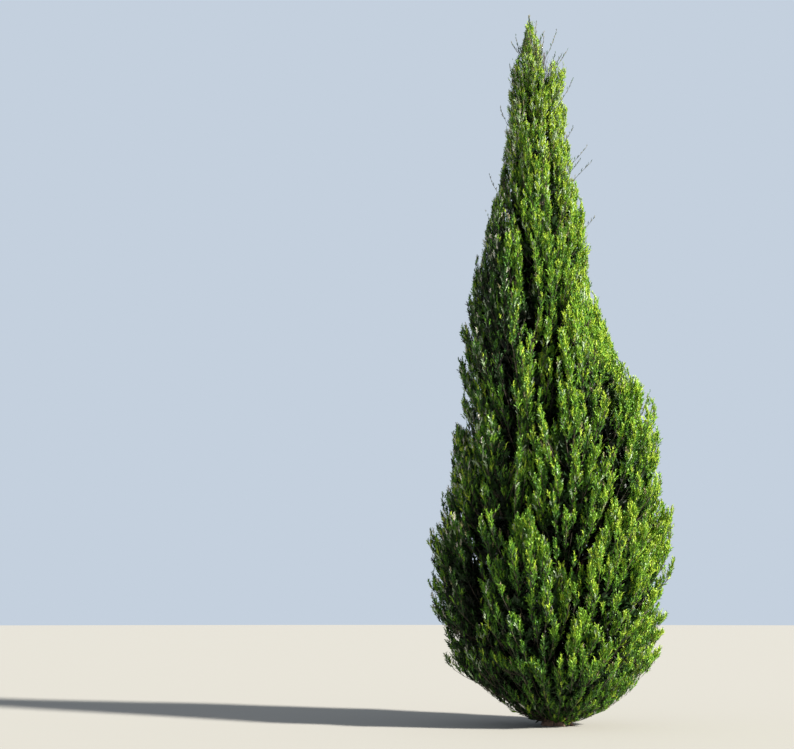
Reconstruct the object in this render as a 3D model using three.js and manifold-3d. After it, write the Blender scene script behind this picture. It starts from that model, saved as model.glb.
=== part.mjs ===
// Eastern red cedar, a whole tree: one leaning trunk, ascending boughs, and upright plumes of needle sprays.
// Millimetres, +Z up. The origin is on level ground at the centre of the trunk's foot. The tree is seen
// along +Y, so +X is its right side. Each plume is a stem that runs through a dense core, with twigs that
// leave the stem by a repeatable rule and flat toothed sprays of needles sunk into core and twigs. A core
// fills its plume's share of the crown, short of its neighbours, the trunk, the boughs and the ground.
import * as THREE from "three";
import { mergeVertices } from "three/addons/utils/BufferGeometryUtils.js";
import Module from "manifold-3d";

const wasm = await Module();
wasm.setup();

const { lerp, clamp, degToRad } = THREE.MathUtils;

// Driving dimensions of the whole tree
const HEIGHT = 9500;
const LEAN = -220; // where the top stands, right of the foot; negative is left
const BOW = 60; // how far the trunk bows away from the viewer at half height
const TRUNK_TOP = 7900; // the leader plume's stem goes on from here
const GAP = 0.3; // between pieces that touch
const GROUND_CLEARANCE = 12; // of the lowest needles

// The crown's outline: height, then the radius on its left and on its right
const CROWN = [
  [0, 280, 360],
  [390, 770, 880],
  [700, 1240, 1280],
  [1300, 1550, 1470],
  [2340, 1590, 1600],
  [3460, 1210, 1570],
  [4090, 1170, 1470],
  [4450, 1150, 1290],
  [4940, 1110, 950],
  [5590, 960, 750],
  [6590, 660, 670],
  [7260, 450, 530],
  [7940, 360, 430],
  [8630, 270, 460],
  [8780, 220, 450],
  [8970, 140, 200],
  [9150, 80, 160],
  [9320, 30, 50],
  [HEIGHT, 15, 15],
];

// Trunk
const TRUNK_RADIUS = 118; // above the root flare
const TRUNK_TIP_RADIUS = 15;
const TRUNK_SIDES = 20;
const TRUNK_RINGS = 12;
const RING_CROWDING = 1.8; // rings stand closer together near the foot
const FLARE = 78; // what the roots add at ground level
const FLARE_HEIGHT = 230;
const RIBS = 5; // root ribs round the foot
const RIB_SHARE = 0.42;
const FLUTES = 3; // shallow flutes that wind up the trunk
const FLUTE_SHARE = 0.07;
const FLUTE_WINDING = 900; // height over which they turn by one radian

// Tiers of plumes, from the ground up. count plumes stand evenly round the trunk from the azimuth turn, in
// degrees. girth is a plume's largest radius and limb its bough's radius at the trunk. The tips stand at the
// height tip, plus swing on the side high and minus swing opposite, and tuck is their distance from the
// trunk's line as a share of the crown's radius. The boughs leave the trunk between the two heights in roots
// and carry the plumes rise higher, to the distance reach from the trunk's line. A tier with no reach has no
// boughs: its stems start on the trunk.
const TIERS = [
  {
    name: "skirt", count: 4, girth: 620, limb: 22,
    turn: -72, tip: 1620, swing: 200, high: -30, tuck: 0.84,
    roots: [75, 130], rise: 110, reach: 300,
  },
  {
    name: "low", count: 7, girth: 640, limb: 36,
    turn: -108, tip: 2740, swing: 150, high: -60, tuck: 0.9,
    roots: [330, 800], rise: 340, reach: 560,
  },
  {
    name: "shoulder", count: 7, girth: 640, limb: 36,
    turn: -134, tip: 4230, swing: 380, high: -15, tuck: 0.93,
    roots: [1000, 1600], rise: 560, reach: 540,
  },
  {
    name: "middle", count: 5, girth: 620, limb: 31,
    turn: -53, tip: 6150, swing: 720, high: -165, tuck: 0.95,
    roots: [2300, 2900], rise: 520, reach: 430,
  },
  {
    name: "upper", count: 4, girth: 500, limb: 24,
    turn: -85, tip: 7650, swing: 250, high: -90, tuck: 0.97,
    roots: [4200, 4700], rise: 400, reach: 260,
  },
  {
    name: "top", count: 3, girth: 390, limb: 15,
    turn: -8, tip: 8600, swing: 250, high: -8, tuck: 1,
    roots: [6100, 6500], rise: 0, reach: 0,
  },
];
const STAGGER = 3; // neighbours round the trunk leave it this many steps of the tier's heights apart
const LEADER_GIRTH = 330;
const AZIMUTH_JITTER = 0.08; // radians
const TIP_JITTER = 90;
const GIRTH_JITTER = 0.08; // share of the girth

// Plumes and their boughs
const MIDDLE = 0.45; // share of a plume's height at which its outer side touches the crown's outline
const TOUCH = 0.8; // share of its radius that a plume keeps inside that outline
const FLAME_LEAN = 0.64; // below 1 a plume is widest under half its height
const FLAME_FULLNESS = 0.74; // below 1 its foot and tip are blunter
const BOUGH_BEND = 0.4; // how far back from its end a bough's curve bends, as a share of its reach
const BOUGH_SIDES = 7;
const BOUGH_RINGS = 3;
const LIMB_TIP_SHARE = 0.6; // a bough's radius where its plume starts, as a share of its radius at the trunk
const COLLAR = 0.35; // how much a bough swells where it leaves the trunk
const COLLAR_FADE = 14;
const STEM_TAPER = 0.75; // what a stem loses of its radius on its way to the tip
const AXIS_STEPS = 24; // points along an axis, for measuring distances

// Cores
const CORE_SHARE = 0.62; // a core's radius, as a share of its plume's
const CORE_END = 0.9; // share of the plume's length at which the core has thinned to the stem
const CORE_ROUGHNESS = 0.14; // how far its corners stand in at most, as a share of half its radius
const CORE_CLEARANCE = 24; // from its neighbours' space, the trunk, the limbs and the ground
const CORE_STEP = 30; // of the search for that space
const CORE_SIDESTEP = 190; // how far beside a core's corner it still makes way for a limb
const CORE_SIDES = 7;
const CORE_RINGS = 6;
const STEM_END = 0.95; // share of the plume's length that core and stem cover, below the crowning spray

// Twigs and sprays
const TWIG_RANGE = [0.06, 0.78]; // where twigs leave the stem
const TWIGS_BASE = 5; // a plume has this many twigs, and one more for every TWIG_SPACING of its girth
const TWIG_SPACING = 100;
const TWIG_SPLAY = degToRad(29); // between a twig and its stem
const TWIG_REACH = 0.6; // share of the plume's radius that a twig's end reaches
const TWIG_LEAD = 0.12; // how much further up the plume that radius is taken
const TIP_REACH = 1.07; // how far out a twig's spray may stand, as a share of the crown's radius
const TWIG_RADIUS = 13;
const TWIG_TIP_SHARE = 0.5;
const TWIG_SIDES = 3;
const OPEN_SIDE = 0.7; // share of the full circle, on the side away from the trunk, that twigs spread over
const GOLDEN_TURN = Math.PI * (3 - Math.sqrt(5));
const SPLAY_JITTER = 0.15;
const SPRAY_BASE = 170; // a spray's length is this and SPRAY_SHARE of its plume's girth
const SPRAY_SHARE = 0.62;
const SPRAY_JITTER = 0.12;
const SPRAY_TILT = 0.4; // how far a spray may turn out of the plume's skin
const SPRAY_WIDTH = 0.5; // of its length
const SPRAY_THICKNESS = 0.08; // of its length
const SPRAY_MIDDLE = 0.42; // where it is thickest, and its twig ends inside it
const STRAY = 190; // how far a spray may stand out of its plume's flame

// The rim of a spray, from its root up the right side to the tip and down the left. Each point is across,
// then along, as shares of the spray's width and length.
const SPRAY_RIM = [
  [0, 0],
  [0.46, 0.45],
  [0.15, 0.5],
  [0.33, 0.8],
  [0, 1],
  [-0.14, 0.66],
  [-0.48, 0.62],
  [-0.16, 0.32],
];

// A repeatable number from -1 to 1 for two numbers
function wobble(a, b) {
  const s = Math.sin(a * 12.9898 + b * 78.233) * 43758.5453;
  return 2 * (s - Math.floor(s)) - 1;
}

// The trunk's line at a height
function axisAt(z) {
  return new THREE.Vector3((LEAN * z) / HEIGHT, BOW * Math.sin((Math.PI * z) / HEIGHT), z);
}

// A point at a distance from the trunk's line, at an azimuth from +X towards +Y
function aroundTrunk(azimuth, radius, z) {
  return axisAt(z).add(new THREE.Vector3(Math.cos(azimuth) * radius, Math.sin(azimuth) * radius, 0));
}

function crownRadius(azimuth, z) {
  const above = clamp(CROWN.findIndex((row) => row[0] > z), 1, CROWN.length - 1);
  const [below, over] = [CROWN[above - 1], CROWN[above]];
  const share = clamp((z - below[0]) / (over[0] - below[0]), 0, 1);
  const left = lerp(below[1], over[1], share);
  const right = lerp(below[2], over[2], share);
  return (left + right) / 2 + ((right - left) / 2) * Math.cos(azimuth);
}

// A point drawn towards the trunk's line until it stands within its reach
function keptInside(point) {
  const line = axisAt(point.z);
  const offset = point.clone().sub(line);
  const limit = TIP_REACH * crownRadius(Math.atan2(offset.y, offset.x), point.z);
  return line.addScaledVector(offset, Math.min(1, limit / offset.length()));
}

function trunkRadius(z, angle) {
  const shaft = lerp(TRUNK_RADIUS, TRUNK_TIP_RADIUS, z / TRUNK_TOP);
  const rib = 1 + RIB_SHARE * Math.cos(RIBS * angle);
  const flute = 1 + FLUTE_SHARE * Math.cos(FLUTES * angle + z / FLUTE_WINDING) * (1 - z / TRUNK_TOP);
  return shaft * flute + FLARE * Math.exp(-z / FLARE_HEIGHT) * rib;
}

// The quadratic curve from start to end that passes through middle at its halfway value
function bow(start, middle, end) {
  const control = middle.clone().multiplyScalar(2).addScaledVector(start, -0.5).addScaledVector(end, -0.5);
  return new THREE.QuadraticBezierCurve3(start, control, end);
}

// A plume's radius from its foot, 0, to its tip, 1, as a share of its girth
function flame(t) {
  return Math.sin(Math.PI * t ** FLAME_LEAN) ** FLAME_FULLNESS;
}

// A closed three.js geometry as a solid, always with its faces pointing out
function solidOf(geometry) {
  const bare = geometry.clone();
  bare.deleteAttribute("normal");
  bare.deleteAttribute("uv");
  const merged = mergeVertices(bare, 1e-3);
  const triangles = new Uint32Array(merged.index.array);
  const corners = merged.attributes.position.array;
  const make = () =>
    new wasm.Manifold(new wasm.Mesh({ numProp: 3, vertProperties: corners, triVerts: triangles }));
  const made = make();
  if (made.volume() > 0) return made;
  for (let i = 0; i < triangles.length; i += 3)
    [triangles[i + 1], triangles[i + 2]] = [triangles[i + 2], triangles[i + 1]];
  return make();
}

// The largest body of a fused solid, without loose scraps and sealed hollows
function mainBody(solid) {
  return solid.decompose().sort((a, b) => b.volume() - a.volume())[0];
}

// The solid that a three.js geometry becomes when place has moved each of its corners
function reshape(geometry, place) {
  const position = geometry.getAttribute("position");
  for (let i = 0; i < position.count; i++) {
    const moved = place(new THREE.Vector3().fromBufferAttribute(position, i));
    position.setXYZ(i, moved.x, moved.y, moved.z);
  }
  return solidOf(geometry);
}

// A limb along the first part of a curve, up to the share end: a cylinder whose rings are set square to the
// curve. across is a direction that the curve never runs along. radiusAt takes the place on the curve, the
// angle round it, the ring's centre and the direction out from there.
function limb(curve, across, radiusAt, sides, rings, end = 1) {
  return reshape(new THREE.CylinderGeometry(1, 1, 1, sides, rings), (local) => {
    const t = end * (local.y + 0.5);
    const along = curve.getTangent(t);
    const first = across.clone().addScaledVector(along, -along.dot(across)).normalize();
    const second = first.clone().cross(along);
    const centre = curve.getPoint(t);
    if (Math.hypot(local.x, local.z) < 0.5) return centre;
    const out = first.multiplyScalar(local.x).addScaledVector(second, local.z);
    const radius = radiusAt(t, Math.atan2(local.z, local.x), centre, out);
    return centre.clone().addScaledVector(out, radius);
  });
}

// A flat spray from root to tip: a double pyramid whose rim is pulled out into teeth
function sprayBlade(root, tip, across) {
  const along = tip.clone().sub(root);
  const length = along.length();
  const side = across.clone().addScaledVector(along, -along.dot(across) / along.lengthSq()).normalize();
  const face = side.clone().cross(along).normalize();
  const teeth = SPRAY_RIM.length;
  return reshape(new THREE.SphereGeometry(1, teeth, 2), (local) => {
    const pole = Math.abs(local.y) > 0.5;
    const turn = Math.atan2(local.z, local.x) / (2 * Math.PI) + 1;
    const [x, y] = pole ? [0, SPRAY_MIDDLE] : SPRAY_RIM[Math.round(turn * teeth) % teeth];
    const rise = pole ? Math.sign(local.y) * 0.5 * SPRAY_THICKNESS * length : 0;
    const point = root.clone().addScaledVector(along, y);
    return point.addScaledVector(side, x * SPRAY_WIDTH * length).addScaledVector(face, rise);
  });
}

// The trunk, or with a margin the space round it that boughs and cores keep out of
function trunkOf(margin) {
  return reshape(new THREE.CylinderGeometry(1, 1, 1, TRUNK_SIDES, TRUNK_RINGS), (local) => {
    const z = TRUNK_TOP * (local.y + 0.5) ** RING_CROWDING;
    const radius = trunkRadius(z, Math.atan2(local.z, local.x)) + margin;
    return axisAt(z).add(new THREE.Vector3(local.x * radius, local.z * radius, 0));
  });
}

// One plume's axis and bough, worked out from its tier
function plumeOf(tier, index, serial) {
  const even = (2 * Math.PI * index) / tier.count;
  const azimuth = degToRad(tier.turn) + even + AZIMUTH_JITTER * wobble(serial, 1);
  const swing = tier.swing * Math.cos(azimuth - degToRad(tier.high));
  const tipHeight = tier.tip + swing + TIP_JITTER * wobble(serial, 2);
  const girth = tier.girth * (1 + GIRTH_JITTER * wobble(serial, 4));
  const rootHeight = lerp(...tier.roots, ((index * STAGGER) % tier.count) / (tier.count - 1));
  const footHeight = rootHeight + tier.rise;
  const middleHeight = lerp(footHeight, tipHeight, MIDDLE);
  const foot = aroundTrunk(azimuth, tier.reach, footHeight);
  const middle = aroundTrunk(azimuth, crownRadius(azimuth, middleHeight) - TOUCH * girth, middleHeight);
  const tip = aroundTrunk(azimuth, tier.tuck * crownRadius(azimuth, tipHeight), tipHeight);
  const plume = {
    name: `${tier.name}_${index + 1}`,
    serial,
    azimuth,
    girth,
    axis: bow(foot, middle, tip),
    limbRadius: tier.limb,
    openSide: OPEN_SIDE,
  };
  if (tier.reach > 0) {
    const root = axisAt(rootHeight);
    const back = plume.axis.getTangent(0).negate();
    const bend = foot.clone().addScaledVector(back, BOUGH_BEND * foot.distanceTo(root));
    plume.bough = new THREE.QuadraticBezierCurve3(root, bend, foot.clone().addScaledVector(back, GAP));
  }
  return plume;
}

// The plume on the trunk's own tip, open all round
function leaderPlume(serial) {
  const foot = axisAt(TRUNK_TOP + GAP);
  const tip = axisAt(HEIGHT);
  return {
    name: "leader",
    serial,
    azimuth: 0,
    girth: LEADER_GIRTH,
    axis: bow(foot, foot.clone().lerp(tip, 0.5), tip),
    limbRadius: TRUNK_TIP_RADIUS / LIMB_TIP_SHARE,
    openSide: 1,
  };
}

const stemRadius = (plume, t) => plume.limbRadius * LIMB_TIP_SHARE * (1 - STEM_TAPER * t);

const boughRadius = (plume, t) =>
  plume.limbRadius * (lerp(1, LIMB_TIP_SHARE, t) + COLLAR * Math.exp(-COLLAR_FADE * t));

// All plumes, each with points along its axis, the direction across it, and the limbs of all the others
function allPlumes() {
  const plumes = TIERS.flatMap((tier, rank) =>
    Array.from({ length: tier.count }, (_, index) => plumeOf(tier, index, 10 * rank + index)),
  );
  plumes.push(leaderPlume(10 * TIERS.length));
  const shares = Array.from({ length: AXIS_STEPS + 1 }, (_, i) => i / AXIS_STEPS);
  for (const plume of plumes) {
    plume.points = shares.map((t) => plume.axis.getPoint(t));
    plume.radii = shares.map((t) => plume.girth * flame(t));
    plume.across = new THREE.Vector3(-Math.sin(plume.azimuth), Math.cos(plume.azimuth), 0);
    plume.limbs = shares.map((t, i) => ({ at: plume.points[i], radius: stemRadius(plume, t) }));
    if (!plume.bough) continue;
    plume.limbs.push(...shares.map((t) => ({ at: plume.bough.getPoint(t), radius: boughRadius(plume, t) })));
  }
  for (const plume of plumes)
    plume.otherLimbs = plumes.filter((other) => other !== plume).flatMap((other) => other.limbs);
  return plumes;
}

// How far a point stands outside a plume's flame, negative inside it
function outside(plume, point) {
  return Math.min(...plume.points.map((p, i) => p.distanceTo(point) - plume.radii[i]));
}

// Whether a point is a margin or more further into a plume's flame than into any other
function isOwn(plume, plumes, point, margin) {
  const own = outside(plume, point) + margin;
  return plumes.every((other) => other === plume || outside(other, point) >= own);
}

// Whether a core may take up a point: in its own space and clear of the ground and the trunk
function coreMayTake(plume, plumes, point) {
  if (point.z < CORE_CLEARANCE) return false;
  const line = axisAt(point.z);
  const fromLine = Math.hypot(point.x - line.x, point.y - line.y);
  if (point.z < TRUNK_TOP && fromLine < trunkRadius(point.z, 0) + CORE_CLEARANCE) return false;
  return isOwn(plume, plumes, point, CORE_CLEARANCE);
}

// How far a core reaches from a point on its axis in a direction, up to limit and short of limbs beside it
function coreReach(plume, plumes, point, direction, limit) {
  let end = limit;
  for (const { at, radius } of plume.otherLimbs) {
    const offset = at.clone().sub(point);
    const ahead = offset.dot(direction);
    const beside = offset.addScaledVector(direction, -ahead).length();
    if (ahead > 0 && beside < CORE_SIDESTEP) end = Math.min(end, ahead - radius - CORE_CLEARANCE);
  }
  const steps = Math.ceil(end / CORE_STEP);
  for (let i = 1; i <= steps; i++) {
    const next = point.clone().addScaledVector(direction, (end * i) / steps);
    if (!coreMayTake(plume, plumes, next)) return (end * (i - 1)) / steps;
  }
  return Math.max(end, 0);
}

// The stem and the dense core that it runs through, in one tapering body
function coreOf(plume, plumes) {
  const radiusAt = (t, angle, centre, out) => {
    const full = CORE_SHARE * plume.girth * flame(clamp(t / CORE_END, 0, 1));
    const corner = Math.round((CORE_SIDES * angle) / (2 * Math.PI));
    const rough = 1 + CORE_ROUGHNESS * (wobble(plume.serial + t, corner) - 1);
    return Math.max(stemRadius(plume, t), rough * coreReach(plume, plumes, centre, out, full));
  };
  return limb(plume.axis, plume.across, radiusAt, CORE_SIDES, CORE_RINGS, STEM_END);
}

const sprayLength = (plume) => SPRAY_BASE + SPRAY_SHARE * plume.girth;

// The twigs of a plume, each with the spray at its end, in the order in which they grow
function growth(plume) {
  const twigs = Math.round(TWIGS_BASE + plume.girth / TWIG_SPACING);
  return Array.from({ length: twigs }, (_, k) => {
    const t = lerp(...TWIG_RANGE, (k + 0.5) / twigs);
    const start = plume.axis.getPoint(t);
    const along = plume.axis.getTangent(t);
    const inward = along.clone().cross(plume.across).normalize();
    const turn = plume.openSide * (((k * GOLDEN_TURN + plume.serial) % (2 * Math.PI)) - Math.PI);
    const outward = inward.multiplyScalar(-Math.cos(turn)).addScaledVector(plume.across, Math.sin(turn));
    const splay = TWIG_SPLAY * (1 + SPLAY_JITTER * wobble(plume.serial, k + 20));
    const splayed = along.clone().multiplyScalar(Math.cos(splay)).addScaledVector(outward, Math.sin(splay));
    const reach = TWIG_REACH * plume.girth * flame(Math.min(1, t + TWIG_LEAD));
    const size = sprayLength(plume) * (1 + SPRAY_JITTER * wobble(plume.serial, k + 40));
    const full = reach / Math.sin(splay) + (1 - SPRAY_MIDDLE) * size;
    const tip = keptInside(start.clone().addScaledVector(splayed, full));
    const heading = tip.clone().sub(start).normalize();
    const tilt = SPRAY_TILT * wobble(plume.serial, k + 60);
    const flat = heading.clone().cross(outward).addScaledVector(outward, tilt);
    const end = tip.clone().addScaledVector(heading, (SPRAY_MIDDLE - 1) * size);
    const radiusAt = (share) => TWIG_RADIUS * lerp(1, TWIG_TIP_SHARE, share);
    return {
      twig: limb(new THREE.LineCurve3(start, end), flat, radiusAt, TWIG_SIDES, 1),
      spray: sprayBlade(tip.clone().addScaledVector(heading, -size), tip, flat),
    };
  });
}

// The spray that crowns a plume's own stem
function crowningSpray(plume) {
  const tip = plume.axis.getPoint(1);
  const root = tip.clone().addScaledVector(plume.axis.getTangent(1), -sprayLength(plume));
  return sprayBlade(root, tip, plume.across);
}

const withBox = (solid) => ({ solid, box: solid.boundingBox() });

const boxesApart = (a, b) =>
  [0, 1, 2].some((axis) => a.min[axis] > b.max[axis] + 1 || a.max[axis] < b.min[axis] - 1);

// Whether a twig or spray has every corner in its plume's own space and is clear of all the other solids
function fits(solid, plume, plumes, others) {
  const { numProp, numVert, vertProperties } = solid.getMesh();
  for (let i = 0; i < numVert; i++) {
    const corner = new THREE.Vector3(...vertProperties.subarray(i * numProp, i * numProp + 3));
    if (corner.z < GROUND_CLEARANCE || outside(plume, corner) > STRAY) return false;
    if (!isOwn(plume, plumes, corner, 0)) return false;
  }
  const box = solid.boundingBox();
  return others.every((other) => boxesApart(box, other.box) || solid.minGap(other.solid, 1) > GAP);
}

function foliageMass(plume, plumes, core, others) {
  let mass = core.add(crowningSpray(plume));
  for (const { twig, spray } of growth(plume)) {
    if (!fits(twig, plume, plumes, others)) continue;
    mass = mass.add(twig);
    if (fits(spray, plume, plumes, others)) mass = mass.add(spray);
  }
  return mainBody(mass);
}

function meshOf(name, solid, material) {
  const { numProp, numVert, vertProperties, triVerts } = solid.getMesh();
  const position = new Float32Array(numVert * 3);
  for (let i = 0; i < numVert; i++)
    position.set(vertProperties.subarray(i * numProp, i * numProp + 3), i * 3);
  const geometry = new THREE.BufferGeometry();
  geometry.setAttribute("position", new THREE.BufferAttribute(position, 3));
  geometry.setIndex(new THREE.BufferAttribute(triVerts, 1));
  geometry.computeVertexNormals();
  const mesh = new THREE.Mesh(geometry, material);
  mesh.name = name;
  return mesh;
}

function buildTree() {
  const bark = new THREE.MeshStandardMaterial({ color: 0x6b5140, roughness: 0.9, metalness: 0 });
  const needles = new THREE.MeshStandardMaterial({ color: 0x4c6b23, roughness: 0.7, metalness: 0 });
  const tree = new THREE.Group();
  const plumes = allPlumes();
  const trunk = trunkOf(0);
  const trunkSpace = trunkOf(GAP);
  tree.add(meshOf("trunk", trunk, bark));

  const limbs = [withBox(trunk)];
  for (const plume of plumes.filter((each) => each.bough)) {
    const radiusAt = (t) => boughRadius(plume, t);
    const whole = limb(plume.bough, plume.across, radiusAt, BOUGH_SIDES, BOUGH_RINGS);
    const bough = mainBody(whole.subtract(trunkSpace));
    limbs.push(withBox(bough));
    tree.add(meshOf(`bough_${plume.name}`, bough, bark));
  }

  const cores = plumes.map((plume) => mainBody(coreOf(plume, plumes).subtract(trunkSpace)));
  const masses = [];
  plumes.forEach((plume, i) => {
    const others = [...limbs, ...masses, ...cores.slice(i + 1).map(withBox)];
    const mass = foliageMass(plume, plumes, cores[i], others);
    masses.push(withBox(mass));
    tree.add(meshOf(`foliage_${plume.name}`, mass, needles));
  });
  return tree;
}

export default buildTree();
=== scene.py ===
# Eastern red cedar, a whole tree: bark, twigs and sprays of needles grown on from the solids' own layout.
# Metres, +Z up, the origin on level ground at the centre of the trunk's foot. The tree is seen along +Y,
# so +X is its right side. Every plume of the crown is a stem with twigs that leave it by a repeatable rule.
# Every twig carries short tufts, and every tuft sprays of needles. Twigs from the trunk fill the foot, the
# shaded heart and the thin places.
import math
from collections import namedtuple
from types import SimpleNamespace

import bmesh
import bpy
import numpy as np
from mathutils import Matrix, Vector, kdtree, noise


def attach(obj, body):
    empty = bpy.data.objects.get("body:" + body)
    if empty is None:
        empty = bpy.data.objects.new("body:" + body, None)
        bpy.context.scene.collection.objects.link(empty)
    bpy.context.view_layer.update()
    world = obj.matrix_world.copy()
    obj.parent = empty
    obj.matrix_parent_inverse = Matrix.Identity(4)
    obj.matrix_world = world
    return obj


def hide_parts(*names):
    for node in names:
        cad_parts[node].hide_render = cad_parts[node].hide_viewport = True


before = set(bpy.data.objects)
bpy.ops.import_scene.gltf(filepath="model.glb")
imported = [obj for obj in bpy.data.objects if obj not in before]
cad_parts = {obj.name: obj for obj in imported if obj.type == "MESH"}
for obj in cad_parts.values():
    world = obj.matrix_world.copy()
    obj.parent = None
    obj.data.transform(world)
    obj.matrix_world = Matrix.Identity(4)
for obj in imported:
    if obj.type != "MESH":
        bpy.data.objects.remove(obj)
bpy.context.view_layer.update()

SEED = 31
rng = np.random.default_rng(SEED)
UP = np.array([0, 0, 1.0])
TINY = 1e-6  # keeps a division from zero

# The whole tree, as in the part's source
HEIGHT = 9.5
LEAN = -0.22  # where the top stands, right of the foot; negative is left
BOW = 0.06  # how far the trunk bows away from the viewer at half height
TRUNK_TOP = 7.9
GROUND_CLEARANCE = 0.015  # how far above the ground tufts and sprays keep
SPRAY_DROOP = 0.2  # how far a spray's side cords may hang below it, as a share of its length

# The crown's outline: height, then the radius on its left and on its right
CROWN = np.array([
    (0, 0.28, 0.36),
    (0.39, 0.77, 0.88),
    (0.7, 1.24, 1.28),
    (1.3, 1.55, 1.47),
    (2.34, 1.59, 1.6),
    (3.46, 1.21, 1.57),
    (4.09, 1.17, 1.47),
    (4.45, 1.15, 1.29),
    (4.94, 1.11, 0.95),
    (5.59, 0.96, 0.75),
    (6.59, 0.66, 0.67),
    (7.26, 0.45, 0.53),
    (7.94, 0.36, 0.43),
    (8.63, 0.27, 0.46),
    (8.78, 0.22, 0.45),
    (8.97, 0.14, 0.2),
    (9.15, 0.08, 0.16),
    (9.32, 0.03, 0.05),
    (HEIGHT, 0.015, 0.015),
])

# How much further out sprays may stand than that, by height: the foot is full, the top loose and ragged
LOOSE = np.array([
    (0, 0.08), (0.39, 0.15), (0.7, 0.1), (1.3, 0.05), (1.9, 0), (8.3, 0), (8.75, 0.05), (9.1, 0.02), (9.4, 0),
])
TOP_START = 9.2  # above this, heights are pressed together so that no twig passes the top

# Trunk: a tapering shaft with shallow flutes, which flares out into ribs at the foot
TRUNK_RADIUS = 0.118
TRUNK_TIP_RADIUS = 0.015
FLARE = 0.078
FLARE_HEIGHT = 0.23
RIBS = 5
RIB_SHARE = 0.42
FLUTES = 3
FLUTE_SHARE = 0.07
FLUTE_WINDING = 0.9

# Tiers of plumes, from the ground up: how many plumes, their largest radius, the bough's radius, the
# azimuth of the first one, the height of the tips with its swing and the side where they are highest, how
# far out the tips stand as a share of the crown, and where the boughs leave the trunk and end.
Tier = namedtuple("Tier", "name count girth limb turn tip swing high tuck roots rise reach")
TIERS = [
    Tier("skirt", 4, 0.62, 0.022, -72, 1.62, 0.2, -30, 0.84, (0.075, 0.13), 0.11, 0.3),
    Tier("low", 7, 0.64, 0.036, -108, 2.74, 0.15, -60, 0.9, (0.33, 0.8), 0.34, 0.56),
    Tier("shoulder", 7, 0.64, 0.036, -134, 4.23, 0.38, -15, 0.93, (1, 1.6), 0.56, 0.54),
    Tier("middle", 5, 0.62, 0.031, -53, 6.15, 0.72, -165, 0.95, (2.3, 2.9), 0.52, 0.43),
    Tier("upper", 4, 0.5, 0.024, -85, 7.65, 0.25, -90, 0.97, (4.2, 4.7), 0.4, 0.26),
    Tier("top", 3, 0.39, 0.015, -8, 8.6, 0.25, -8, 1, (6.1, 6.5), 0, 0),
]
SERIALS_PER_TIER = 10
STAGGER = 3  # every third bough in a tier leaves the trunk next above the last
LEADER_GIRTH = 0.33
AZIMUTH_JITTER = 0.08
TIP_JITTER = 0.09
GIRTH_JITTER = 0.08
MIDDLE = 0.45  # where a stem's middle point lies between foot and tip
TOUCH = 0.8  # how far in from the crown's radius it stands, as a share of the girth
FLAME_LEAN = 0.64
FLAME_FULLNESS = 0.74
BOUGH_BEND = 0.4
LIMB_TIP_SHARE = 0.6
COLLAR = 0.35
COLLAR_FADE = 14
STEM_TAPER = 0.75
AXIS_STEPS = 24

# Twigs, by the source's rule
TWIG_RANGE = (0.06, 0.78)
TWIGS_BASE = 5
TWIG_SPACING = 0.1
TWIG_SPLAY = math.radians(29)
TWIG_REACH = 0.6
TWIG_LEAD = 0.12
TWIG_RADIUS = 0.009
TWIG_TIP_RADIUS = 0.003
TWIG_STEPS = 6
OPEN_SIDE = 0.7
GOLDEN_TURN = math.pi * (3 - math.sqrt(5))
SPLAY_JITTER = 0.15
SPRAY_BASE = 0.17
SPRAY_SHARE = 0.62
SPRAY_JITTER = 0.12
SPRAY_MIDDLE = 0.42
STEM_END = (0.72, 0.86, 1)  # where on the stem its own leafy end starts, bends and stops
STRAY = 0.45  # how far out of its flame a plume's foliage may stand
FULL_GIRTH = 0.62  # plumes of this girth carry tufts and sprays at full size
TWIG_SWEEP = 0.18  # how far a twig's curve bends down and out before it turns up, as a share of its length
TIP_REACH = (0.86, 1.05)  # how far out twigs' tips may stand, as a share of the outline's radius
SHAGGINESS = 0.05  # how far a spray may stand out of that outline
FINER = 3  # twigs in the place of each one of the source

# Gap twigs: one for each patch of the outline that no flame covers, grown on from the nearest plume's stem
PATCH_HEIGHT = 0.42
PATCH_WIDTH = 0.3
PATCH_JITTER = 0.3
GAP_INSETS = (0.06, 0.5)  # how deep a gap twig may end, from the outline inwards
GAP_INSET_STEPS = 12
GAP_OUT = 0.36  # how far out of a plume's flame its tip may stand
GAP_LIFT = 0.14
COVERED = 0.12  # a patch whose outline lies deeper than this in a flame gets no gap twig
GAP_SHORTEST = 0.25

# Clefts that run down between the ribs of the crown: height, azimuth in degrees and half width along each
CLEFTS = [
    [(6.5, -110, 0.07), (5.9, -105, 0.09), (5.3, -101, 0.09), (4.6, -94, 0.11), (3.7, -90, 0.1),
     (3.1, -90, 0.07)],
    [(5.5, -126, 0.05), (4.7, -123, 0.07), (4.1, -118, 0.1), (3.7, -118, 0.14), (3, -119, 0.15),
     (2.1, -121, 0.08)],
    [(5.1, -47, 0.05), (4.3, -52, 0.08), (2.9, -57, 0.06)],
    [(3.5, -146, 0.1), (2.6, -138, 0.14), (1.6, -142, 0.15), (0.9, -143, 0.1)],
    [(7.9, -60, 0.05), (7.1, -62, 0.08), (6.2, -58, 0.06)],
    [(6.6, 80, 0.08), (5.2, 74, 0.16), (3.4, 80, 0.12)],
    [(2.9, 98, 0.08), (2, 103, 0.14), (1, 98, 0.1)],
    [(4.8, 165, 0.08), (3.4, 160, 0.14), (1.9, 165, 0.1)],
    [(3.4, 20, 0.08), (2.3, 14, 0.14), (1.2, 20, 0.1)],
    [(7.4, 150, 0.06), (6.4, 140, 0.1), (5.4, 150, 0.06)],
]
CLEFT_DEPTH = 0.48  # of the outline's radius, or of the next value where that is less
CLEFT_RADIUS = 0.9
PATH_FADE = 2  # how fast a cleft grows from its ends, per metre
PATH_EDGE = 4  # how steep its sides are

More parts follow.
